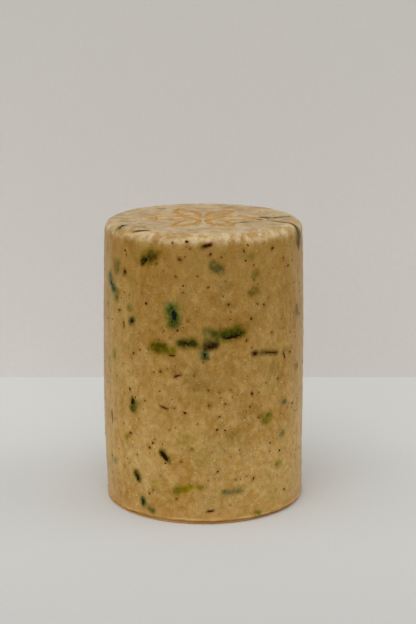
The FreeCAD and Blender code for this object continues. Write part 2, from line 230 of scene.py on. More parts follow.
class StageSettings(bpy.types.PropertyGroup):
    """The floor, backdrop, lights and camera."""
    wall_distance: length_setting("Wall Distance", "From the soap's axis to the backdrop", 0.104)
    wall_half: length_setting("Wall Half Width", "Half the backdrop's width", 0.35)
    floor_half: length_setting("Floor Half Width", "Half the floor's width", 2.0)
    camera_distance: length_setting("Camera Distance", "Level distance from the axis", 0.3657)
    camera_height: length_setting("Camera Height", "Height above the floor", 0.1308)
    camera_aside: length_setting("Camera Aside", "How far the camera stands to the right", 0.0011)
    camera_pitch: bpy.props.FloatProperty(
        name="Camera Pitch", description="How far the camera looks down",
        default=math.radians(13.17), subtype="ANGLE")
    lens: bpy.props.FloatProperty(name="Lens", description="Focal length in millimetres", default=90.0)
    world_strength: bpy.props.FloatProperty(
        name="Room Light", description="Strength of the even room light", default=0.50)
    key_power: power_setting("Key Light", "Power of the broad light at the front left", 4.7)
    side_power: power_setting("Side Lights", "Power of each broad light at the sides", 1.9)
    top_power: power_setting("Top Light", "Power of the broad light above", 1.0)


# ---- Smooth random fields ---------------------------------------------------------------------------
def waves(points, wavelength, seed, count=22, stretch=(1.0, 1.0, 1.0)):
    """Smooth random field of about -1 to 1.

    The sum of plane sine waves with random directions, phases and wavelengths near the given one, times
    0.7 over the root of half their number. stretch scales the waves' frequency along each axis.
    """
    rng = np.random.default_rng(seed)
    direction = rng.normal(size=(count, 3))
    direction /= np.linalg.norm(direction, axis=1)[:, None]
    frequency = 2 * math.pi / wavelength * rng.uniform(0.6, 1.5, size=(count, 1))
    phase = rng.uniform(0, 2 * math.pi, count)
    total = np.zeros(len(points))
    for vector, start in zip(direction * frequency * np.array(stretch), phase):
        total += np.sin(points @ vector + start)
    return total * 0.7 / math.sqrt(count / 2)


def ease(value, low, high):
    """0 below low, 1 above high, and a smooth cubic step between."""
    share = np.clip((value - low) / (high - low), 0, 1)
    return share * share * (3 - 2 * share)


# ---- The soap's skin --------------------------------------------------------------------------------
def side_arc(shape):
    """Centre radius, centre height and radius of the circle through the base, belly and top of the side."""
    x1, z1 = BELLY_RADIUS - shape.base_taper, 0.0
    x2, z2 = BELLY_RADIUS, shape.belly_height
    x3, z3 = BELLY_RADIUS - shape.top_taper, HEIGHT
    lines = np.array([[x2 - x1, z2 - z1], [x3 - x1, z3 - z1]])
    sums = 0.5 * np.array([x2 ** 2 - x1 ** 2 + z2 ** 2 - z1 ** 2, x3 ** 2 - x1 ** 2 + z3 ** 2 - z1 ** 2])
    cx, cz = np.linalg.solve(lines, sums)
    return cx, cz, math.hypot(x1 - cx, z1 - cz)


def side_radius(shape, z):
    """Radius of the side at height z: the circle's centre plus the root of its radius and rise."""
    cx, cz, radius = side_arc(shape)
    return cx + np.sqrt(radius ** 2 - (z - cz) ** 2)


def skin(shape, points):
    """The nearest places on the plain soap to some points, and the outward normals there.

    By zones of the outline in radius and height: the flat top and base, the two rounded edges, where the
    normal points away from the edge's centre, and the barrelled side.
    """
    x, y, z = points.T
    r = np.hypot(x, y)
    top, base = shape.top_edge, shape.base_edge
    top_r, base_r = side_radius(shape, HEIGHT - top) - top, side_radius(shape, base) - base
    high, low = z > HEIGHT - top, z < base
    new_r, new_z = side_radius(shape, np.clip(z, base, HEIGHT - top)), z.copy()
    normal_r, normal_z = np.ones_like(r), np.zeros_like(r)
    for edge, centre_r, centre_z, zone in (
            (top, top_r, HEIGHT - top, high), (base, base_r, base, low)):
        away_r, away_z = np.maximum(r - centre_r, 0), z - centre_z
        length = np.maximum(np.hypot(away_r, away_z), TINY)
        round_zone = zone & (r > centre_r)
        flat_zone = zone & (r <= centre_r)
        new_r = np.where(round_zone, centre_r + edge * away_r / length, new_r)
        new_z = np.where(round_zone, centre_z + edge * away_z / length, new_z)
        normal_r = np.where(round_zone, away_r / length, normal_r)
        normal_z = np.where(round_zone, away_z / length, normal_z)
        new_r = np.where(flat_zone, r, new_r)
        new_z = np.where(flat_zone, HEIGHT if edge == top else 0.0, new_z)
        normal_r = np.where(flat_zone, 0.0, normal_r)
        normal_z = np.where(flat_zone, 1.0 if edge == top else -1.0, normal_z)
    safe = np.maximum(r, TINY)
    cos, sin = x / safe, y / safe
    places = np.stack([new_r * cos, new_r * sin, new_z], axis=1)
    normals = np.stack([normal_r * cos, normal_r * sin, normal_z], axis=1)
    return places, normals


def groove_distance(shape, points):
    """Distance from the nearest line of the rosette, in the top plane.

    The azimuth is folded into one petal. A petal's outline is two equal arcs that meet at its tips, so the
    distance is from the arc's circle, or from the nearer tip beyond the petal's ends.
    """
    x, y = points[:, 0], points[:, 1]
    step = 2 * math.pi / shape.petal_count
    angle = np.arctan2(y, x)
    angle -= np.round(angle / step) * step
    r = np.hypot(x, y)
    half_length, half_width = shape.petal_length / 2, shape.petal_width / 2
    along = r * np.cos(angle) - shape.petal_start - half_length
    across = np.abs(r * np.sin(angle))
    radius = (half_length ** 2 + half_width ** 2) / (2 * half_width)
    from_arc = np.abs(np.hypot(along, across + radius - half_width) - radius)
    from_tip = np.hypot(np.abs(along) - half_length, across)
    return np.where(np.abs(along) < half_length, from_arc, from_tip)


def groove_mask(shape, points):
    """1 on a rosette line and 0 beside it, only on the top face."""
    on_top = ease(points[:, 2], HEIGHT - 0.8 * MM, HEIGHT - 0.3 * MM)
    wobble = 1 + 0.18 * waves(points, 3.0 * MM, 51)
    half = shape.groove_width / 2 * wobble
    return on_top * (1 - ease(groove_distance(shape, points), 0.25 * half, 1.15 * half))


def drag_mask(points):
    """Where the mould has dragged the side: weak at the front, full from the flanks round the back."""
    azimuth = np.abs(np.arctan2(points[:, 0], -points[:, 1]))
    side = ease(points[:, 2], 0, 3 * MM) * (1 - ease(points[:, 2], HEIGHT - 5 * MM, HEIGHT - 2 * MM))
    return side * (0.12 + 0.88 * ease(azimuth, math.radians(42), math.radians(68)))


def film_and_sheen_mask(shape, points):
    """How thick the pale layer is, partly dry film and partly painted sheen: most on the rounded top edge,
    less on the top, none on the side.
    """
    x, y, z = points.T
    up = ease(z, HEIGHT - 1.1 * shape.top_edge, HEIGHT - 0.4 * shape.top_edge)
    edge = ease(np.hypot(x, y), BELLY_RADIUS - 2 * shape.top_edge, BELLY_RADIUS - shape.top_edge)
    return up * (0.34 + 0.10 * edge)


def relief(shape, points):
    """How far the skin stands out from the plain soap at some places on it.

    Broad dents, soft ripples and fine lumps, all smooth random fields; upright drag marks, which are a
    field with almost no change along the height; a foot that leans to the right by the sine of the
    azimuth; a low lip just above the base and an uneven foot round it; and the pressed rosette with a
    faint raised shoulder. All of it fades out at the floor, so that the base stays flat.
    """
    z = points[:, 2]
    sideways = points[:, 0] / np.maximum(np.hypot(points[:, 0], points[:, 1]), TINY)
    off_floor = ease(z, 0.05 * MM, 0.8 * MM)
    out = shape.dent_depth * waves(points, 20 * MM, 11)
    out += 0.028 * MM * waves(points, 4.2 * MM, 12)
    out += 0.014 * MM * waves(points, 1.9 * MM, 13, count=30)
    marks = waves(points, 2.0 * MM, 14, count=40, stretch=(1, 1, 0.035))
    out += shape.drag_depth * drag_mask(points) * marks
    out += shape.lean * sideways * (1 - ease(z, 2 * MM, 16 * MM))
    lip = np.exp(-((z - 1.2 * MM - 0.2 * MM * waves(points, 9 * MM, 15)) / (0.22 * MM)) ** 2)
    out += 0.16 * MM * lip * (0.8 + 0.5 * waves(points, 6 * MM, 16))
    out += 0.06 * MM * waves(points, 2.6 * MM, 17) * (1 - ease(z, 0.6 * MM, 2.6 * MM))
    distance = groove_distance(shape, points)
    shoulder = np.exp(-((distance - 0.85 * shape.groove_width) / (0.3 * shape.groove_width)) ** 2)
    on_top = ease(z, HEIGHT - 0.8 * MM, HEIGHT - 0.3 * MM)
    out += 0.04 * MM * shoulder * on_top
    out -= shape.groove_depth * groove_mask(shape, points) * (1 + 0.15 * waves(points, 2.0 * MM, 18))
    return out * off_floor


# ---- Herb pieces read from the frame ----------------------------------------------------------------
def islands(obj):
    """The separate solids of a frame node, as arrays of their vertices.

    Vertices at the same place share a label, and each triangle's corners take their lowest label until
    nothing changes.
    """
    mesh = obj.data
    co = np.zeros(len(mesh.vertices) * 3)
    mesh.vertices.foreach_get("co", co)
    co = co.reshape(-1, 3)
    mesh.calc_loop_triangles()
    triangles = np.zeros(len(mesh.loop_triangles) * 3, int)
    mesh.loop_triangles.foreach_get("vertices", triangles)
    places, same = np.unique(np.round(co / WELD).astype(int), axis=0, return_inverse=True)
    triangles = same.reshape(-1)[triangles].reshape(-1, 3)
    label = np.arange(len(places))
    while True:
        lowest = label[triangles].min(axis=1)
        new = label.copy()
        for corner in range(3):
            np.minimum.at(new, triangles[:, corner], lowest)
        if (new == label).all():
            break
        label = new
    return [places[label == name] * WELD for name in np.unique(label)]


def herb_places(shape, node):
    """For each solid of a node: its centre on the skin, normal, two directions, length, width and depth.

    The long direction is the main one of its vertices, turned into the skin's plane. The depth is the
    least distance from the skin to a vertex.
    """
    found = []
    for points in islands(NODES[node]):
        centre = (points.min(axis=0) + points.max(axis=0)) / 2
        on_skin, normal = skin(shape, centre[None, :])
        normal = normal[0]
        long_way = np.linalg.svd(points - points.mean(axis=0), full_matrices=False)[2][0]
        long_way = long_way - normal * (long_way @ normal)
        long_way /= np.linalg.norm(long_way)
        if long_way @ np.array([1.0, 0.3, 0.7]) < 0:
            long_way = -long_way
        short_way = np.cross(normal, long_way)
        nearest, _ = skin(shape, points)
        depth = np.linalg.norm(nearest - points, axis=1).min()
        spread = [np.ptp(points @ way) for way in (long_way, short_way)]
        found.append({"centre": on_skin[0], "normal": normal, "along": long_way, "across": short_way,
                      "length": spread[0], "width": spread[1], "depth": depth})
    return found


def stain_of(node):
    """The stain settings of a node: its own, or those of its kind."""
    if node in PIECE_STAIN:
        return PIECE_STAIN[node]
    for word, kind in (("leaves", "dark_leaf"), ("petals", "blue_petal"), ("stems", "stem")):
        if node.endswith(word):
            return KIND_STAIN[kind]
    return KIND_STAIN[node.rsplit("_", 1)[0]]


def stain_pass(points, place, spread, shift):
    """0 to 1: how much of a piece's stain reaches each point.

    A bell curve of the distance from the piece's middle line, less 0.3 of its width, over the spread. The
    stain's middle is shifted to the right and up, where up is away from the front on the top face.
    """
    right = np.cross(np.array([0, 0, 1.0]), place["normal"])
    size = np.linalg.norm(right)
    right = right / size if size > LEVEL_LIMIT else np.array([1.0, 0, 0])
    up = np.cross(place["normal"], right)
    middle = place["centre"] + (right * shift[0] + up * shift[1]) * MM
    away = points - middle
    near = np.abs(away @ place["normal"]) < STAIN_REACH
    along, across = away @ place["along"], away @ place["across"]
    end = np.maximum(np.abs(along) - max(place["length"] - place["width"], 0) / 2, 0)
    distance = np.maximum(np.hypot(end, across) - place["width"] * 0.3, 0)
    return np.where(near, np.exp(-(distance / (spread * MM)) ** 2), 0)


def dye(shape, points):
    """Share of red, green and blue light that the stains let through at each place on the skin.

    Each stain multiplies the light by its tint raised to a power that falls away from its middle: a wide
    pass and a narrow one, the narrow one stronger for pieces that show no bare flake. Two random fields
    make the power uneven, so that no stain is a clean oval, and each brown speck has its own strength.
    After the pieces come the deep stains, then CLOUD_COUNT faint clouds at random places, all with fixed
    seeds.
    """
    light = np.ones((len(points), 3))
    rough = 1 + 0.30 * waves(points, 2.2 * MM, 31) + 0.25 * waves(points, 0.9 * MM, 32, count=30)
    rough = np.clip(rough, 0.3, 1.6)
    strength = np.random.default_rng(78)
    for node in sorted(NODES):
        if node == "soap_body" or node.startswith("inner"):
            continue
        tint, spread, shift, bare = stain_of(node)
        core = BARE_CORE if bare else SUNK_CORE
        for place in herb_places(shape, node):
            power = (1 - core) * stain_pass(points, place, spread * WIDE_SPREAD, shift)
            power += core * stain_pass(points, place, spread * NARROW_SPREAD, (0, 0))
            if node == "brown_specks":
                power *= strength.uniform(0.1, 1) ** 1.5
            light *= np.array(tint)[None, :] ** (power * rough)[:, None]
    for azimuth, level, length, width, turn, tint, spread in DEEP_STAINS:
        place = loose_place(shape, math.radians(azimuth), level * HEIGHT, length, width, math.radians(turn))
        power = stain_pass(points, place, spread, (0, 0)) * rough
        light *= np.array(tint)[None, :] ** power[:, None]
    rng = np.random.default_rng(77)
    for number in range(CLOUD_COUNT):
        azimuth, z = rng.uniform(0, 2 * math.pi), rng.uniform(0.04, 0.97) * HEIGHT
        place = loose_place(shape, azimuth, z, rng.uniform(0.8, 3.6), rng.uniform(0.5, 1.4),
                            rng.uniform(0, math.pi))
        power = stain_pass(points, place, rng.uniform(0.5, 1.1), (0, 0)) * rng.uniform(0.4, 1.1) * rough
        light *= np.array(CLOUD_TINTS[number % len(CLOUD_TINTS)])[None, :] ** power[:, None]
    return light


def loose_place(shape, azimuth, z, length, width, turn):
    """A stain's place on the side, with the same entries as herb_places gives."""
    radius = side_radius(shape, z)
    centre, normal = skin(shape, np.array([[radius * math.sin(azimuth), -radius * math.cos(azimuth), z]]))
    level_way = np.array([math.cos(azimuth), math.sin(azimuth), 0.0])
    upward = np.cross(normal[0], level_way)
    along = math.cos(turn) * level_way + math.sin(turn) * upward
    return {"centre": centre[0], "normal": normal[0], "along": along, "across": np.cross(normal[0], along),
            "length": length * MM, "width": width * MM}


# ---- Meshes from arrays -----------------------------------------------------------------------------
def mesh_object(name, points, quads, triangles=None, smooth=True):
    """A mesh object from arrays of points, of four-cornered faces and of three-cornered ones."""
    faces = [tuple(row) for row in quads.tolist()]
    if triangles is not None:
        faces += [tuple(row) for row in triangles.tolist()]
    mesh = bpy.data.meshes.new(name)
    mesh.from_pydata(points, [], faces)
    mesh.polygons.foreach_set("use_smooth", np.full(len(faces), smooth))
    mesh.update()
    obj = bpy.data.objects.new(name, mesh)
    bpy.context.scene.collection.objects.link(obj)
    return obj


def wrap_faces(rings, around):
    """Quads of a tube grid: ring by ring, joined round its seam. Returns corner numbers."""
    ring, step = np.meshgrid(np.arange(rings - 1), np.arange(around), indexing="ij")
    beside = (step + 1) % around
    corners = [ring * around + step, ring * around + beside, (ring + 1) * around + beside,
               (ring + 1) * around + step]
    return np.stack(corners, axis=-1).reshape(-1, 4)


def fan_faces(first, around, tip, reverse):
    """Triangles that close a ring of points with one tip. reverse winds them the other way."""
    step = np.arange(around)
    beside = (step + 1) % around
    ends = (first + beside, first + step) if reverse else (first + step, first + beside)
    return np.stack([*ends, np.full(around, tip)], axis=-1)


def set_attribute(obj, name, values):
    """Stores one number or one colour for each vertex."""
    if values.ndim == 1:
        layer = obj.data.attributes.new(name, "FLOAT", "POINT")
        layer.data.foreach_set("value", values.astype(np.float32))
    else:
        layer = obj.data.attributes.new(name, "FLOAT_COLOR", "POINT")
        rgba = np.concatenate([values, np.ones((len(values), 1))], axis=1)
        layer.data.foreach_set("color", rgba.astype(np.float32).ravel())


def soap_outline(shape):
    """Radius and height of each ring of the soap's grid, from the base's middle to the top's middle.

    Straight runs on the base, side and top are divided evenly, finer near the base's lip and over the
    rosette, and both edges are quarter circles.
    """
    top, base = shape.top_edge, shape.base_edge
    top_r, base_r = side_radius(shape, HEIGHT - top) - top, side_radius(shape, base) - base
    fold = np.linspace(0, math.pi / 2, 8)
    bend = np.linspace(0, math.pi / 2, 13)
    lip_end, mark_edge = 2.6 * MM, shape.petal_start + shape.petal_length + 1.2 * MM
    side_z = np.concatenate([np.linspace(base, lip_end, 12)[1:],
                             np.linspace(lip_end, HEIGHT - top, 126)[1:]])
    runs = [
        (np.linspace(base_r * 0.1, base_r, 7)[:-1], np.zeros(6)),
        (base_r + base * np.sin(fold), base - base * np.cos(fold)),
        (side_radius(shape, side_z), side_z),
        (top_r + top * np.cos(bend[1:]), HEIGHT - top + top * np.sin(bend[1:])),
        (np.linspace(top_r, mark_edge, 18)[1:], np.full(17, HEIGHT)),
        (np.linspace(mark_edge, 0.12 * MM, 84)[1:], np.full(83, HEIGHT)),
    ]
    return np.concatenate([run[0] for run in runs]), np.concatenate([run[1] for run in runs])


def soap_mesh(shape):
    """The soap as one closed grid: every ring of its outline, carried round the axis.

    A column's azimuth is t - 0.35 sin t, where t is an even turn, which packs the columns closer at the
    front. Each point is moved along its normal by the relief, and each open end is closed with one point.
    """
    around = SOAP_COLUMNS
    even = np.arange(around) / around * 2 * math.pi
    azimuth = even - 0.35 * np.sin(even)
    r, z = soap_outline(shape)
    rings = len(r)
    ring_r, ring_z = np.repeat(r, around), np.repeat(z, around)
    turn = np.tile(azimuth, rings)
    points = np.stack([ring_r * np.sin(turn), -ring_r * np.cos(turn), ring_z], axis=1)
    ends = np.array([[0, 0, 0], [0, 0, HEIGHT]])
    points = np.concatenate([points, ends])
    places, normals = skin(shape, points)
    moved = places + normals * relief(shape, places)[:, None]
    quads = wrap_faces(rings, around)
    low = fan_faces(0, around, rings * around, True)
    high = fan_faces((rings - 1) * around, around, rings * around + 1, False)
    obj = mesh_object("cast_soap", moved, quads, np.concatenate([low, high]))
    set_attribute(obj, "dye", dye(shape, places))
    set_attribute(obj, "pressed", groove_mask(shape, places))
    set_attribute(obj, "drag", drag_mask(places))
    # The pale top layer: dry film with painted sheen.
    set_attribute(obj, "film", film_and_sheen_mask(shape, places))
    return obj


def flake_points(shape, place, half_length, half_width, shift, rng, power, proud, rings=6, around=30):
    """A small closed flake laid on the skin: points of its face, then of its underside.

    In polar terms, the rim's distance is the superellipse of that power, times one plus a few random
    cosines, which tears the edge. The face is a dome of proud (1 - rho^4) with a crinkle, and tucks under
    the skin at the rim. The underside is the same outline, lower. A negative proud sinks the whole flake.
    """
    turn = np.arange(around) / around * 2 * math.pi
    cos, sin = np.cos(turn), np.sin(turn)
    rim = (np.abs(cos) ** power + np.abs(sin) ** power) ** (-1 / power)
    for lobe in range(2, 8):
        rim = rim * (1 + rng.uniform(-0.5, 0.5) * 0.9 / lobe ** 0.7 * 0.35
                     * np.cos(lobe * turn + rng.uniform(0, 2 * math.pi)))
    rho = np.linspace(0, 1, rings + 1)[1:]
    grid_u = (rho[:, None] * (rim * cos)[None, :]).ravel() * half_length + shift[0]
    grid_v = (rho[:, None] * (rim * sin)[None, :]).ravel() * half_width + shift[1]
    ring = np.repeat(rho, around)
    dome, sink = max(proud, 0.03 * MM), min(proud, 0.0)
    face = sink + dome * (1 - ring ** 4) - FLAKE_TUCK * ring ** 5
    flat = place["centre"] + grid_u[:, None] * place["along"] + grid_v[:, None] * place["across"]
    on_skin, normal = skin(shape, flat)
    base = relief(shape, on_skin)
    crinkle = 0.018 * MM * waves(on_skin, 0.5 * MM, int(rng.integers(1, 9999)), count=12) * (1 - ring ** 4)
    top = on_skin + normal * (base + face + crinkle)[:, None]
    under = on_skin + normal * (base + sink - FLAKE_TUCK - FLAKE_DEPTH * (1 - ring ** 2))[:, None]
    centre_flat = place["centre"] + shift[0] * place["along"] + shift[1] * place["across"]
    centre, centre_normal = skin(shape, centre_flat[None, :])
    centre_base = relief(shape, centre)[0] + sink
    tips = np.stack([centre[0] + centre_normal[0] * (centre_base + dome),
                     centre[0] + centre_normal[0] * (centre_base - FLAKE_TUCK - FLAKE_DEPTH)])
    inner = (rings - 1) * around
    points = np.concatenate([top, under[:inner], tips])
    uv = np.concatenate([np.stack([grid_u, grid_v], axis=1),
                         np.stack([grid_u[:inner], grid_v[:inner]], axis=1), np.tile(shift, (2, 1))])
    return points, uv, flake_faces(rings, around)


def flake_faces(rings, around):
    """Faces of a flake: its face out to the rim, then its underside back in, each with a centre fan."""
    face = wrap_faces(rings, around)[:, ::-1]
    first_under = rings * around
    under = wrap_faces(rings - 1, around) + first_under
    step = np.arange(around)
    beside = (step + 1) % around
    rim = (rings - 1) * around
    last_under = first_under + (rings - 2) * around
    join = np.stack([last_under + step, last_under + beside, rim + beside, rim + step], axis=-1)
    tip = first_under + (rings - 1) * around
    fans = np.concatenate([fan_faces(0, around, tip, False), fan_faces(first_under, around, tip + 1, True)])
    return np.concatenate([face, under, join]), fans


def join_parts(name, parts):
    """One mesh object from several sets of points and faces, with their own (u, v) in metres."""
    offset, points, quads, triangles, uvs = 0, [], [], [], []
    for part_points, uv, (part_quads, part_triangles) in parts:
        points.append(part_points)
        uvs.append(uv)
        quads.append(part_quads + offset)
        triangles.append(part_triangles + offset)
        offset += len(part_points)
    obj = mesh_object(name, np.concatenate(points), np.concatenate(quads), np.concatenate(triangles))
    uv = np.concatenate(uvs)
    set_attribute(obj, "along", uv[:, 0])
    set_attribute(obj, "across", uv[:, 1])
    return obj


def herb_parts(shape, place, kind, bare, form, rng):
    """The torn bits that make up one herb piece: its main flake, then crumbs along its edges.

    A piece under the skin is one sunk flake without crumbs, and so is a stem on the skin, unsunk.
    """
    power = {"stem": 5.0, "red_petal": 1.8}.get(kind, 1.7)
    length, width = place["length"] / 2, place["width"] / 2
    sunk = place["depth"] > 0.1 * MM or bare <= 0
    proud = (-place["depth"] - 0.12 * MM) if sunk else 0.035 * MM
    scale = 1.0 if sunk else 0.55 + 0.45 * bare
    long_share, wide_share, offset, crumbs = form or (scale, scale, 0.0, int(3 + length / MM * 2))
    centre = (0.0, offset * MM)
    parts = [flake_points(shape, place, length * long_share, width * wide_share, centre, rng, power, proud)]
    if sunk or kind == "stem":
        return parts
    for number in range(crumbs):
        shift = (length * rng.uniform(-1.1, 1.1),
                 centre[1] + width * rng.choice([-1, 1]) * wide_share * rng.uniform(0.4, 1.3))
        size = rng.uniform(0.12, 0.34) * min(length, 1.1 * MM)
        parts.append(flake_points(shape, place, size, size * rng.uniform(0.45, 1.0), shift, rng, 2.0,
                                  0.03 * MM, rings=4, around=16))
    return parts


def slot_of(node):
    """The record's material slot of a frame node."""
    for row in frame["record"]["subparts"]:
        if row["node"] == node:
            return row["material_slot"]
    raise ValueError("no slot for " + node)


def finish_piece(obj, material, slot, *nodes):
    """Gives a piece its material and its place in the frame, and hides the nodes that it stands for."""
    obj.data.materials.clear()
    obj.data.materials.append(material)
    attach(obj, "root")
    if nodes:
        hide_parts(*nodes)
    return obj


# ---- Shader building blocks -------------------------------------------------------------------------
def put(tree, kind, inputs=None, **settings):
    """Adds a node, sets its settings, and fills its inputs with values or links."""
    made = tree.nodes.new(kind)
    for name, value in settings.items():
        setattr(made, name, value)
    for name, value in (inputs or {}).items():
        if isinstance(value, bpy.types.NodeSocket):
            tree.links.new(value, made.inputs[name])
        else:
            made.inputs[name].default_value = value
    return made


def blend(tree, factor, first, second, mode="MIX"):
    """Mixes two colours and returns the result's socket."""
    made = put(tree, "ShaderNodeMix", {0: factor, 6: first, 7: second}, data_type="RGBA", blend_type=mode)
    return made.outputs[2]


def remap(tree, value, low, high, to_low=0.0, to_high=1.0):
    """Carries a value from one range to another, held at its ends."""
    made = put(tree, "ShaderNodeMapRange", {0: value, 1: low, 2: high, 3: to_low, 4: to_high})
    return made.outputs[0]


def maths(tree, operation, first, second=0.0):
    """One sum on two values."""
    return put(tree, "ShaderNodeMath", {0: first, 1: second}, operation=operation).outputs[0]


def times(tree, first, *others):
    """The product of several values."""
    for other in others:
        first = maths(tree, "MULTIPLY", first, other)
    return first


def plus(tree, first, *others):
    """The sum of several values."""
    for other in others:
        first = maths(tree, "ADD", first, other)
    return first


def band(tree, value, start, full, fade, gone):
    """1 from full to fade, sloping to 0 at start and at gone."""
    return times(tree, remap(tree, value, start, full), remap(tree, value, gone, fade))


def noise(tree, place, scale, detail, output=0, **more):
    """Noise as a value, or as three numbers in one colour when output is 1."""
    return put(tree, "ShaderNodeTexNoise",
               {"Vector": place, "Scale": scale, "Detail": detail, **more}).outputs[output]


def shaded(tree, colour, shade):
    """A colour times one shade."""
    grey = put(tree, "ShaderNodeCombineColor", {0: shade, 1: shade, 2: shade}).outputs[0]
    return blend(tree, 1.0, colour, grey, "MULTIPLY")


def coordinates(tree):
    """Places in the piece's own metres."""
    return put(tree, "ShaderNodeTexCoord").outputs["Object"]


def new_group(name, inputs, outputs):
    """An empty shader node group with named inputs and outputs, and its two end nodes."""
    tree = bpy.data.node_groups.new(name, "ShaderNodeTree")
    for label, kind, value in inputs:
        socket = tree.interface.new_socket(name=label, in_out="INPUT", socket_type=kind)
        if value is not None:
            socket.default_value = value
    for label, kind in outputs:
        tree.interface.new_socket(name=label, in_out="OUTPUT", socket_type=kind)
    return tree, put(tree, "NodeGroupInput"), put(tree, "NodeGroupOutput")


def grain_group():
    """Fine crystal grain: noise of two sizes added together. Gives a mask."""
    tree, start, end = new_group(
        "Crystal Grain",
        [("Vector", "NodeSocketVector", None), ("Scale", "NodeSocketFloat", 2600.0)],
        [("Mask", "NodeSocketFloat")])
    place, scale = start.outputs[0], start.outputs[1]
    fine = noise(tree, place, scale, 2.0, Roughness=0.6)
    coarse = noise(tree, place, times(tree, scale, 0.37), 2.0, Roughness=0.5)
    total = plus(tree, times(tree, fine, 0.55), times(tree, coarse, 0.45))
    tree.links.new(remap(tree, total, 0.34, 0.66), end.inputs[0])
    return tree


def dots_group():
    """Scattered dots: one in each random cell whose own number is below the share.

    A dot's size is the given size times 0.5 to 1.5, and small noise moves its border. Gives a mask, and
    the distance from the dot's middle over its size, which is far outside 1 where there is no dot.
    """
    tree, start, end = new_group(
        "Scattered Dots",
        [("Vector", "NodeSocketVector", None), ("Scale", "NodeSocketFloat", 1200.0),
         ("Share", "NodeSocketFloat", 0.1), ("Size", "NodeSocketFloat", 0.25)],
        [("Mask", "NodeSocketFloat"), ("Distance", "NodeSocketFloat")])
    wander = noise(tree, start.outputs[0], start.outputs[1], 1.0, 1)
    moved = put(tree, "ShaderNodeVectorMath", {0: wander, 1: (0.00022, 0.00022, 0.00022)},
                operation="MULTIPLY")
    place = put(tree, "ShaderNodeVectorMath", {0: start.outputs[0], 1: moved.outputs[0]}, operation="ADD")
    cells = put(tree, "ShaderNodeTexVoronoi", {"Vector": place.outputs[0], "Scale": start.outputs[1]})
    own = put(tree, "ShaderNodeSeparateColor", {0: cells.outputs["Color"]})
    chosen = maths(tree, "LESS_THAN", own.outputs[0], start.outputs[2])
    size = times(tree, start.outputs[3], plus(tree, own.outputs[1], 0.5))
    share = maths(tree, "DIVIDE", cells.outputs["Distance"], size)
    tree.links.new(times(tree, remap(tree, share, 1.0, 0.6), chosen), end.inputs[0])
    apart = plus(tree, share, times(tree, maths(tree, "SUBTRACT", 1.0, chosen), 9.0))
    tree.links.new(apart, end.inputs[1])
    return tree


def streaks_group():
    """Long thin streaks: noise on a place squeezed by the stretch vector. Gives a mask."""
    tree, start, end = new_group(
        "Long Streaks",
        [("Vector", "NodeSocketVector", None), ("Stretch", "NodeSocketVector", (1.0, 1.0, 0.03)),
         ("Scale", "NodeSocketFloat", 900.0)],
        [("Mask", "NodeSocketFloat")])
    squeezed = put(tree, "ShaderNodeVectorMath", {0: start.outputs[0], 1: start.outputs[1]},
                   operation="MULTIPLY")
    streak = noise(tree, squeezed.outputs[0], start.outputs[2], 3.0, Roughness=0.55)
    tree.links.new(remap(tree, streak, 0.32, 0.68), end.inputs[0])
    return tree


GROUP_MAKERS = {"Crystal Grain": grain_group, "Scattered Dots": dots_group, "Long Streaks": streaks_group}


def use_group(tree, name, inputs):
    """The outputs of a node group in a material. The group is built the first time it is asked for."""
    made = bpy.data.node_groups.get(name) or GROUP_MAKERS[name]()
    return put(tree, "ShaderNodeGroup", node_tree=made, inputs=inputs).outputs


def grain_mask(tree, place, scale):
    """Crystal grain at a scale."""
    return use_group(tree, "Crystal Grain", {"Vector": place, "Scale": scale})[0]


def dots(tree, place, scale, share, size):
    """The mask and the distance of scattered dots."""
    return use_group(tree, "Scattered Dots",
                     {"Vector": place, "Scale": scale, "Share": share, "Size": size})


def streaks(tree, place, scale, stretch):
    """Streaks at a scale, long along the axis with the least stretch number."""
    return use_group(tree, "Long Streaks", {"Vector": place, "Scale": scale, "Stretch": stretch})[0]


def new_material(name):
    """An empty material: its node tree and its Principled shader, joined to the output."""
    material = bpy.data.materials.new(name)
    material.use_nodes = True
    tree = material.node_tree
    tree.nodes.clear()
    shader = put(tree, "ShaderNodeBsdfPrincipled")
    put(tree, "ShaderNodeOutputMaterial", {"Surface": shader.outputs[0]})
    return material, tree, shader


def fill_shader(tree, shader, **inputs):
    """Fills a shader's inputs, named with underscores for spaces, with values or links."""
    for name, value in inputs.items():
        socket = shader.inputs[name.replace("_", " ")]
        if isinstance(value, bpy.types.NodeSocket):
            tree.links.new(value, socket)
        else:
            socket.default_value = value


def bump(tree, level, strength, distance):
    """A bump from a height."""
    return put(tree, "ShaderNodeBump",
               {"Height": level, "Strength": strength, "Distance": distance}).outputs[0]


def attribute(tree, name, output="Fac"):
    """A vertex attribute's socket."""
    return put(tree, "ShaderNodeAttribute", attribute_name=name).outputs[output]


# ---- The soap's material ----------------------------------------------------------------------------
# The patterns that the soap's layers share. cast holds three separate noises.
SoapPatterns = namedtuple("SoapPatterns", "place height grain broad cloud cast")

LOW_SIDE_GAIN = (1.29, 1.36, 1.62, 1)      # how much paler and greyer the low side is than the high


def soap_patterns(tree):
    """The place, the height and the noises of the soap."""
    place = coordinates(tree)
    height = put(tree, "ShaderNodeSeparateXYZ", {0: place}).outputs[2]
    cast = put(tree, "ShaderNodeSeparateColor", {0: noise(tree, place, 130.0, 2.0, 1)}).outputs
    return SoapPatterns(place, height, grain_mask(tree, place, 2300.0), noise(tree, place, 75.0, 3.0),
                        noise(tree, place, 420.0, 4.0, Roughness=0.56), cast)


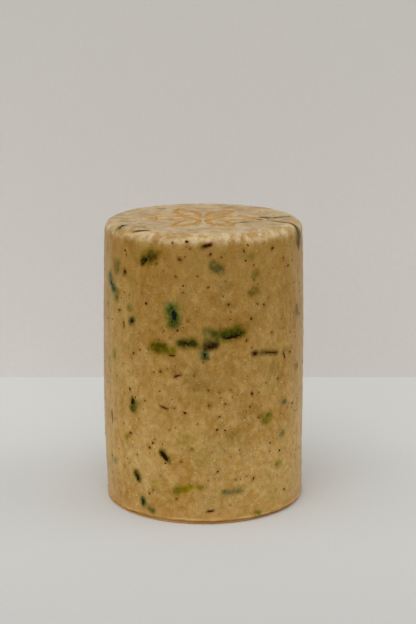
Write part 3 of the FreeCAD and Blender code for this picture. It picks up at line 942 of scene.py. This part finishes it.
def cloudy_soap(tree, pattern, paint):
    """The cast mass: amber to tan, then olive, russet and cream clouds, all shaded by the grain."""
    colour = blend(tree, remap(tree, pattern.broad, 0.38, 0.60), paint["amber"], paint["tan"])
    colour = blend(tree, remap(tree, pattern.cast[0], 0.52, 0.72, 0.0, 0.45), colour, paint["olive"])
    colour = blend(tree, remap(tree, pattern.cast[1], 0.54, 0.72, 0.0, 0.75), colour, paint["russet"])
    colour = blend(tree, remap(tree, pattern.cloud, 0.42, 0.74, 0.0, 0.62), colour, paint["cream"])
    return shaded(tree, colour, remap(tree, pattern.grain, 0.0, 1.0, 0.78, 1.20))


def small_marks(tree, pattern, paint, colour, fleck):
    """Rusty and pale grains, wisps where a noise crosses its middle, and bubbles in pale rings."""
    rust = dots(tree, pattern.place, 800.0, 0.13, 0.28)[0]
    colour = blend(tree, times(tree, rust, 0.6), colour, paint["rust"])
    colour = blend(tree, times(tree, fleck, 0.28), colour, paint["fleck"])
    wisp = noise(tree, pattern.place, 620.0, 1.0, Distortion=1.6)
    frost = remap(tree, maths(tree, "ABSOLUTE", maths(tree, "SUBTRACT", wisp, 0.5)), 0.018, 0.004)
    frost = times(tree, frost, remap(tree, pattern.cast[2], 0.46, 0.60))
    colour = blend(tree, times(tree, frost, 0.30), colour, paint["frost"])
    pit, distance = dots(tree, pattern.place, 280.0, 0.04, 0.065)
    colour = blend(tree, times(tree, band(tree, distance, 0.9, 1.2, 1.4, 1.9), 0.45), colour,
                   paint["bubble_rim"])
    return blend(tree, pit, colour, paint["bubble_pit"])


def foot_layers(tree, pattern, paint, colour):
    """The paler low side, the peach foot, the pale ridge over a painted shade line under the lip, and a
    painted orange glow along the foot next to the floor.
    """
    height = pattern.height
    colour = blend(tree, remap(tree, height, 50 * MM, 16 * MM), colour, LOW_SIDE_GAIN, "MULTIPLY")
    peach = times(tree, remap(tree, height, 5.5 * MM, 1.0 * MM),
                  remap(tree, pattern.cloud, 0.40, 0.62, 0.35, 1.0))
    colour = blend(tree, times(tree, peach, 0.6), colour, paint["peach"])
    ridge = times(tree, band(tree, height, 0.95 * MM, 1.15 * MM, 1.30 * MM, 1.50 * MM),
                  remap(tree, pattern.cast[2], 0.42, 0.60))
    colour = blend(tree, times(tree, ridge, 0.6), colour, paint["ridge"])
    # Painted shade: a dark line in the crease under the lip.
    lip = times(tree, band(tree, height, 0.42 * MM, 0.55 * MM, 0.70 * MM, 0.95 * MM),
                remap(tree, pattern.broad, 0.40, 0.55, 0.45, 0.9))
    colour = blend(tree, lip, colour, paint["lip"])
    # Painted glow: the shaded foot below 0.55 mm turns bright orange, standing in for light through the
    # soap.
    return blend(tree, remap(tree, height, 0.55 * MM, 0.35 * MM), colour, paint["contact"])


def top_layers(tree, pattern, paint, colour):
    """The browner band under the rim, the pale dry film with painted sheen, and the pressed lines: honey
    soap made paler by painted light on their walls, with painted shade at their borders.
    """
    under_rim = band(tree, pattern.height, HEIGHT - 12 * MM, HEIGHT - 5 * MM, HEIGHT - 4 * MM,
                     HEIGHT - 2 * MM)
    colour = blend(tree, times(tree, under_rim, 0.35), colour, paint["amber"])
    # Pale top and rim: partly dry film, partly painted sheen.
    film = times(tree, attribute(tree, "film"), remap(tree, pattern.cloud, 0.42, 0.60, 0.30, 1.15),
                 remap(tree, pattern.grain, 0.0, 1.0, 0.75, 1.35))
    colour = blend(tree, film, colour, paint["bloom"])
    pressed = attribute(tree, "pressed")
    # Honey in the pressed lines, paler with painted light on their walls.
    colour = blend(tree, pressed, colour, paint["honey"])
    # Painted shade along the borders of the pressed lines.
    brink = times(tree, band(tree, pressed, 0.05, 0.4, 0.5, 0.95),
                  remap(tree, pattern.cloud, 0.42, 0.62, 0.05, 0.55))
    return blend(tree, brink, colour, paint["brink"])


def soap_bump(tree, pattern, fleck, pale):
    """Fine relief: grain, clouds, flecks and drag streaks stand out, and scattered pits lie in."""
    pit = dots(tree, pattern.place, 520.0, 0.08, 0.12)[0]
    level = plus(tree, times(tree, pattern.grain, 0.35), times(tree, pattern.cloud, 0.5),
                 times(tree, fleck, 0.3))
    level = maths(tree, "SUBTRACT", level, times(tree, pit, 0.6))
    return bump(tree, plus(tree, level, times(tree, pale, 0.4)), 0.55, 0.12 * MM)


def soap_material(colours):
    """Waxy cast soap: clouds, small marks, drag streaks, foot and top layers, all dyed by the herbs."""
    material, tree, shader = new_material("waxy_soap")
    paint = {name: tuple(getattr(colours, name)) for name in SoapColours.__annotations__}
    pattern = soap_patterns(tree)
    fleck = dots(tree, pattern.place, 1150.0, 0.10, 0.26)[0]
    colour = cloudy_soap(tree, pattern, paint)
    colour = small_marks(tree, pattern, paint, colour, fleck)
    streak = streaks(tree, pattern.place, 700.0, (1.0, 1.0, 0.03))
    pale = times(tree, remap(tree, streak, 0.55, 0.95), attribute(tree, "drag"))
    colour = blend(tree, times(tree, pale, 0.35), colour, paint["cream"])
    colour = foot_layers(tree, pattern, paint, colour)
    colour = top_layers(tree, pattern, paint, colour)
    sheen = put(tree, "ShaderNodeLayerWeight", {"Blend": 0.5}).outputs["Facing"]
    fill_shader(tree, shader,
                Base_Color=blend(tree, 1.0, colour, attribute(tree, "dye", "Color"), "MULTIPLY"),
                Roughness=remap(tree, pattern.grain, 0.0, 1.0, 0.32, 0.48),
                Normal=soap_bump(tree, pattern, fleck, pale), IOR=1.46,
                Specular_IOR_Level=remap(tree, sheen, 0.45, 0.9, 0.05, 0.36),
                Subsurface_Weight=0.35, Subsurface_Radius=(1.0, 0.55, 0.25), Subsurface_Scale=0.0018)
    return material


# ---- The other materials ----------------------------------------------------------------------------
# Each tone of dried herb: its dark fibres, its light ones, its third tone in patches, and its roughness.
HERB_TONES = {
    "dark_leaf": ((0.007, 0.004, 0.001), (0.022, 0.019, 0.004), (0.036, 0.009, 0.002), 0.7),
    "teal_leaf": ((0.004, 0.005, 0.003), (0.010, 0.018, 0.008), (0.006, 0.010, 0.008), 0.7),
    "maroon_leaf": ((0.010, 0.003, 0.001), (0.046, 0.011, 0.005), (0.024, 0.007, 0.002), 0.7),
    "olive_leaf": ((0.040, 0.042, 0.007), (0.120, 0.110, 0.018), (0.060, 0.036, 0.008), 0.6),
    "blue_petal": ((0.018, 0.030, 0.014), (0.065, 0.085, 0.045), (0.030, 0.044, 0.020), 0.65),
    "red_petal": ((0.016, 0.003, 0.001), (0.052, 0.012, 0.004), (0.026, 0.009, 0.002), 0.7),
    "stem": ((0.028, 0.010, 0.003), (0.095, 0.040, 0.012), (0.050, 0.018, 0.006), 0.65),
}
# The leaves whose tone isn't their slot's.
NODE_TONES = {"dark_leaf_02": "teal_leaf", "dark_leaf_03": "teal_leaf", "dark_leaf_07": "teal_leaf",
              "dark_leaf_11": "teal_leaf", "dark_leaf_06": "maroon_leaf", "dark_leaf_09": "maroon_leaf"}
# Herb dust, from near black through maroon to rusty orange, by the speck's own tone.
DUST_TONES = ((0.0, (0.010, 0.003, 0.001, 1)), (0.35, (0.046, 0.012, 0.003, 1)),
              (0.65, (0.110, 0.038, 0.008, 1)), (1.0, (0.200, 0.095, 0.022, 1)))
HERB_SPECULAR = 0.03


def herb_material(name, dark, light, patches, roughness):
    """Dried herb: two tones in fibres along the piece, broken by grain, and a third tone in patches."""
    material, tree, shader = new_material(name)
    place = coordinates(tree)
    flat = put(tree, "ShaderNodeCombineXYZ", {0: attribute(tree, "along"), 1: attribute(tree, "across")})
    fibre = streaks(tree, flat.outputs[0], 5200.0, (0.12, 1.0, 1.0))
    grain = grain_mask(tree, place, 3600.0)
    mixed = times(tree, remap(tree, fibre, 0.2, 0.9), remap(tree, grain, 0.0, 1.0, 0.5, 1.0))
    colour = blend(tree, mixed, (*dark, 1), (*light, 1))
    colour = blend(tree, remap(tree, noise(tree, place, 900.0, 2.0), 0.52, 0.66), colour, (*patches, 1))
    fill_shader(tree, shader, Base_Color=colour, Specular_IOR_Level=HERB_SPECULAR,
                Roughness=remap(tree, grain, 0.0, 1.0, roughness - 0.1, roughness + 0.1),
                Normal=bump(tree, plus(tree, fibre, grain), 0.5, 0.05 * MM))
    return material


def herb_finish(slot, node=""):
    """The material of a herb slot, built the first time it is asked for. A few leaves have another tone."""
    tone = NODE_TONES.get(node, slot)
    name = "dry_" + tone
    return bpy.data.materials.get(name) or herb_material(name, *HERB_TONES[tone])


def speck_material():
    """Herb dust: each speck takes its own tone from a ramp, shaded by the grain."""
    material, tree, shader = new_material("herb_dust")
    ramp = put(tree, "ShaderNodeValToRGB", {0: attribute(tree, "tone")})
    elements = ramp.color_ramp.elements
    elements[0].color, elements[1].color = DUST_TONES[0][1], DUST_TONES[-1][1]
    for position, tone in DUST_TONES[1:-1]:
        elements.new(position).color = tone
    grain = grain_mask(tree, coordinates(tree), 5000.0)
    fill_shader(tree, shader, Specular_IOR_Level=HERB_SPECULAR,
                Base_Color=shaded(tree, ramp.outputs[0], remap(tree, grain, 0.0, 1.0, 0.6, 1.3)),
                Roughness=remap(tree, grain, 0.0, 1.0, 0.5, 0.7))
    return material


def paper_material(name, colour, axis, reach, shade_far, see_through):
    """Plain matte paper with a faint tooth, shaded along one axis over the reach.

    A see-through back lets the soap be seen from behind the backdrop.
    """
    material, tree, shader = new_material(name)
    place = coordinates(tree)
    tooth = noise(tree, place, 1400.0, 3.0)
    way = put(tree, "ShaderNodeSeparateXYZ", {0: place}).outputs[axis]
    shade = times(tree, remap(tree, tooth, 0.3, 0.7, 0.985, 1.015),
                  remap(tree, way, *reach, 1.0, shade_far))
    fill_shader(tree, shader, Base_Color=shaded(tree, (*colour, 1), shade), Roughness=0.9,
                Specular_IOR_Level=0.2)
    if see_through:
        clear = put(tree, "ShaderNodeBsdfTransparent")
        back = put(tree, "ShaderNodeNewGeometry").outputs["Backfacing"]
        mixed = put(tree, "ShaderNodeMixShader", {0: back, 1: shader.outputs[0], 2: clear.outputs[0]})
        output = next(node for node in tree.nodes if node.type == "OUTPUT_MATERIAL")
        tree.links.new(mixed.outputs[0], output.inputs["Surface"])
    return material


# ---- Operators --------------------------------------------------------------------------------------
class SOAP_OT_cast_body(bpy.types.Operator):
    """Build the cast soap with its pressed rosette and herb stains"""
    bl_idname = "soap.cast_body"
    bl_label = "Cast Body"

    def execute(self, context):
        obj = soap_mesh(context.scene.soap_shape)
        finish_piece(obj, soap_material(context.scene.soap_colours), "soap", "soap_body")
        return {"FINISHED"}


class SOAP_OT_herb_pieces(bpy.types.Operator):
    """Build every single leaf, petal and stem piece, and the groups at the back"""
    bl_idname = "soap.herb_pieces"
    bl_label = "Herb Pieces"

    def execute(self, context):
        shape = context.scene.soap_shape
        for number, node in enumerate(sorted(NODES)):
            slot = slot_of(node)
            if slot not in HERB_TONES or node.startswith("inner") or node == "rim_blade":
                continue
            rng = np.random.default_rng(100 + number)
            bare = stain_of(node)[3]
            parts = []
            for place in herb_places(shape, node):
                parts += herb_parts(shape, place, slot, bare, FLAKE_FORM.get(node), rng)
            obj = join_parts(node + "_dried", parts)
            finish_piece(obj, herb_finish(slot, node), slot, node)
        return {"FINISHED"}


class SOAP_OT_rim_blade(bpy.types.Operator):
    """Build the long grass blade that bends over the top edge"""
    bl_idname = "soap.rim_blade"
    bl_label = "Rim Blade"

    def execute(self, context):
        finish_piece(blade_mesh(context.scene.soap_shape), herb_finish("olive_leaf"), "olive_leaf",
                     "rim_blade")
        return {"FINISHED"}


def blade_mesh(shape):
    """The rim blade: a thin ribbon swept along the skin between the ends of its frame node.

    The middle line is a quadratic curve laid on the skin. It runs from the node's inmost vertex to its
    lowest one, and is pulled towards the outermost vertex of its top part. The half width swells and
    tapers as sin(pi s) to the power 0.4, with a random wobble, and each cross-section is a shallow dome
    whose borders tuck under the skin.
    """
    points = islands(NODES["rim_blade"])[0]
    lowest, inmost = points[points[:, 2].argmin()], points[np.hypot(points[:, 0], points[:, 1]).argmin()]
    steps, across = 60, 9
    share = np.linspace(0, 1, steps)
    corner = points[points[:, 2] > HEIGHT - shape.top_edge]
    edge = corner[np.hypot(corner[:, 0], corner[:, 1]).argmax()]
    edge = edge + np.array([0, 0, 0.8 * shape.top_edge])
    line = (np.outer((1 - share) ** 2, inmost) + np.outer(2 * share * (1 - share), edge)
            + np.outer(share ** 2, lowest))
    middle, normal = skin(shape, line)
    tangent = np.gradient(middle, axis=0)
    tangent /= np.linalg.norm(tangent, axis=1)[:, None]
    side = np.cross(normal, tangent)
    half = BLADE_HALF * np.sin(math.pi * np.clip(share, 0.01, 0.99)) ** 0.4
    half *= 1 + 0.12 * waves(middle, 1.5 * MM, 61)
    v = np.linspace(-1, 1, across)
    flat = middle[:, None, :] + side[:, None, :] * (half[:, None] * v[None, :])[..., None]
    on_skin, out = skin(shape, flat.reshape(-1, 3))
    base = relief(shape, on_skin)
    arch = 0.05 * MM * (1 - v ** 2)
    top = on_skin + out * (base + np.tile(arch - 0.05 * MM * v ** 6, steps))[:, None]
    under = on_skin + out * (base - 0.2 * MM - np.tile(arch, steps))[:, None]
    halves = [top.reshape(steps, across, 3), under.reshape(steps, across, 3)[:, ::-1]]
    ring = np.concatenate(halves, axis=1)
    around = 2 * across
    ends = np.stack([ring[0].mean(axis=0), ring[-1].mean(axis=0)])
    quads = wrap_faces(steps, around)[:, ::-1]
    fans = np.concatenate([fan_faces(0, around, steps * around, False),
                           fan_faces((steps - 1) * around, around, steps * around + 1, True)])
    obj = mesh_object("rim_blade_dried", np.concatenate([ring.reshape(-1, 3), ends]), quads, fans)
    lengthwise = np.repeat(share, around) * BLADE_LENGTH
    crosswise = np.tile(np.concatenate([v, v[::-1]]), steps) * BLADE_HALF
    set_attribute(obj, "along", np.concatenate([lengthwise, [0, BLADE_LENGTH]]))
    set_attribute(obj, "across", np.concatenate([crosswise, [0, 0]]))
    return obj


def speck_layout(shape, rng):
    """Centre, direction, half length, half width and tone of each speck.

    The frame's own specks come first, then finer dust at random azimuths and heights. Each direction of
    the dust is a random vector turned into the skin's plane.
    """
    places = herb_places(shape, "brown_specks")
    centre = np.array([place["centre"] for place in places])
    along = np.array([place["along"] for place in places])
    size = rng.uniform(0.7, 1.2, len(places))
    length = np.array([place["length"] for place in places]) / 2 * size
    width = np.array([place["width"] for place in places]) / 2 * size * rng.uniform(1.0, 1.8, len(places))
    tone = rng.uniform(0.0, 0.85, len(places))

    azimuth = rng.uniform(0, 2 * math.pi, DUST_COUNT)
    on_top = np.arange(DUST_COUNT) % DUST_ON_TOP == 0
    radius = np.where(on_top, BELLY_RADIUS * np.sqrt(rng.uniform(0, 0.8, DUST_COUNT)), 1.0)
    height = np.where(on_top, HEIGHT + 0.1, rng.uniform(0.01, 0.99, DUST_COUNT) * HEIGHT)
    rough = np.stack([radius * np.sin(azimuth), -radius * np.cos(azimuth), height], axis=1)
    dust_centre, dust_normal = skin(shape, rough)
    tilt = rng.normal(size=(DUST_COUNT, 3))
    tilt -= dust_normal * (tilt * dust_normal).sum(axis=1)[:, None]
    tilt /= np.linalg.norm(tilt, axis=1)[:, None]
    size = (0.10 + 0.20 * rng.uniform(0, 1, DUST_COUNT) ** 2) * MM
    length = np.concatenate([length, size * rng.uniform(1.0, 2.2, DUST_COUNT)])
    width = np.concatenate([width, size * rng.uniform(0.6, 1.0, DUST_COUNT)])
    tone = np.concatenate([tone, rng.uniform(0.45, 1.0, DUST_COUNT)])
    return np.concatenate([centre, dust_centre]), np.concatenate([along, tilt]), length, width, tone


def speck_mesh(shape):
    """All specks in one mesh: each is a low dome of two rings on a torn oval, closed above and below."""
    rng = np.random.default_rng(7)
    centre, along, length, width, tone = speck_layout(shape, rng)
    count, sides = len(centre), SPECK_SIDES
    turn = np.arange(sides) / sides * 2 * math.pi
    wobble = 1 + rng.uniform(-0.22, 0.22, (count, sides))
    _, normal = skin(shape, centre)
    across = np.cross(normal, along)
    parts = []
    for share, lift in ((1.0, -0.05 * MM), (0.62, 0.035 * MM)):
        u = share * length[:, None] * np.cos(turn) * wobble
        v = share * width[:, None] * np.sin(turn) * wobble
        flat = centre[:, None, :] + u[..., None] * along[:, None, :] + v[..., None] * across[:, None, :]
        on_skin, out = skin(shape, flat.reshape(-1, 3))
        moved = on_skin + out * (relief(shape, on_skin) + lift)[:, None]
        parts.append(moved.reshape(count, sides, 3))
    level = relief(shape, centre)[:, None]
    tips = np.stack([centre + normal * (level - 0.07 * MM), centre + normal * (level + 0.045 * MM)], axis=1)
    points = np.concatenate([*parts, tips], axis=1)
    each = 2 * sides + 2
    quads = wrap_faces(2, sides)
    fans = np.concatenate([fan_faces(0, sides, 2 * sides, True),
                           fan_faces(sides, sides, 2 * sides + 1, False)])
    start = (np.arange(count) * each)[:, None, None]
    obj = mesh_object("herb_specks", points.reshape(-1, 3), (quads[None] + start).reshape(-1, 4),
                      (fans[None] + start).reshape(-1, 3))
    set_attribute(obj, "tone", np.repeat(tone, each))
    return obj


class SOAP_OT_specks(bpy.types.Operator):
    """Build the brown specks and dust all over the skin"""
    bl_idname = "soap.specks"
    bl_label = "Specks"

    def execute(self, context):
        finish_piece(speck_mesh(context.scene.soap_shape), speck_material(), "speck", "brown_specks")
        return {"FINISHED"}


class SOAP_OT_inner_pieces(bpy.types.Operator):
    """Give the herb pieces sealed inside the soap their finish"""
    bl_idname = "soap.inner_pieces"
    bl_label = "Inner Pieces"

    def execute(self, context):
        for node in ("inner_leaves", "inner_stems"):
            obj = NODES[node]
            obj.data.materials.clear()
            obj.data.materials.append(herb_finish(slot_of(node)))
        return {"FINISHED"}


class SOAP_OT_stage(bpy.types.Operator):
    """Build the floor, backdrop, lights and camera"""
    bl_idname = "soap.stage"
    bl_label = "Stage"

    def execute(self, context):
        stage = context.scene.soap_stage
        half, wall, y = stage.floor_half, stage.wall_half, stage.wall_distance
        floor = flat_sheet(
            "floor", [(-half, -half, 0), (half, -half, 0), (half, half, 0), (-half, half, 0)],
            paper_material("floor_paper", (0.655, 0.66, 0.645), 1, (0.04, -0.11), 0.76, False))
        back = flat_sheet(
            "backdrop", [(-wall, y, 0), (wall, y, 0), (wall, y, 2 * wall), (-wall, y, 2 * wall)],
            paper_material("backdrop_paper", (0.67, 0.645, 0.615), 2, (0.0, 0.16), 0.78, True))
        low_target = (0, 0, 0.03)
        for name, place, target, size, power in (
                ("key", (-0.18, -0.62, 0.68), low_target, 1.0, stage.key_power),
                ("right", (0.66, -0.05, 0.42), low_target, 0.8, stage.side_power),
                ("left", (-0.66, 0.05, 0.42), low_target, 0.8, 0.75 * stage.side_power),
                ("overhead", (0.0, 0.0, 0.90), (0, 0, 0.0), 0.9, stage.top_power)):
            add_light(name, place, target, size, power)
        world = bpy.data.worlds.new("room")
        world.use_nodes = True
        ground = world.node_tree.nodes["Background"]
        ground.inputs[0].default_value = (1.0, 0.985, 0.96, 1)
        ground.inputs[1].default_value = stage.world_strength
        context.scene.world = world
        context.scene.view_settings.view_transform = "Standard"
        camera = bpy.data.objects.new("camera", bpy.data.cameras.new("camera"))
        context.scene.collection.objects.link(camera)
        camera.location = (stage.camera_aside, -stage.camera_distance, stage.camera_height)
        camera.rotation_euler = (math.pi / 2 - stage.camera_pitch, 0, 0)
        camera.data.lens = stage.lens
        camera.data.sensor_width = 36.0
        context.scene.camera = camera
        return {"FINISHED"}


def flat_sheet(name, corners, material):
    """One flat face between four corners, with its material."""
    obj = mesh_object(name, np.array(corners), np.array([[0, 1, 2, 3]]), smooth=False)
    obj.data.materials.append(material)
    return obj


def add_light(name, place, target, size, power):
    """A square soft light at a place, turned to face a target."""
    lamp = bpy.data.lights.new(name, "AREA")
    lamp.size = size
    lamp.energy = power
    obj = bpy.data.objects.new(name, lamp)
    bpy.context.scene.collection.objects.link(obj)
    obj.location = place
    away = obj.location - Vector(target)
    obj.rotation_euler = away.to_track_quat("Z", "Y").to_euler()


class SOAP_PT_panel(bpy.types.Panel):
    """The soap's settings and its building steps"""
    bl_idname = "SOAP_PT_panel"
    bl_label = "Herb Shaving Soap"
    bl_space_type = "VIEW_3D"
    bl_region_type = "UI"
    bl_category = "Soap"

    def draw(self, context):
        for settings in SETTINGS:
            values = getattr(context.scene, settings)
            box = self.layout.box()
            for name in values.__annotations__:
                box.prop(values, name)
        for step in STEPS:
            self.layout.operator("soap." + step)


STEPS = ("cast_body", "herb_pieces", "rim_blade", "specks", "inner_pieces", "stage")
CLASSES = (SoapShape, SoapColours, StageSettings, SOAP_OT_cast_body, SOAP_OT_herb_pieces,
           SOAP_OT_rim_blade, SOAP_OT_specks, SOAP_OT_inner_pieces, SOAP_OT_stage, SOAP_PT_panel)
SETTINGS = {"soap_shape": SoapShape, "soap_colours": SoapColours, "soap_stage": StageSettings}


def register():
    """Registers the classes and hangs their settings on the scene."""
    for item in CLASSES:
        bpy.utils.register_class(item)
    for name, kind in SETTINGS.items():
        setattr(bpy.types.Scene, name, bpy.props.PointerProperty(type=kind))


def unregister():
    """Takes the settings and the classes away again."""
    for name in SETTINGS:
        delattr(bpy.types.Scene, name)
    for item in reversed(CLASSES):
        bpy.utils.unregister_class(item)


def main():
    """Runs every building step."""
    register()
    for step in STEPS:
        getattr(bpy.ops.soap, step)()


if __name__ == "__main__":
    main()
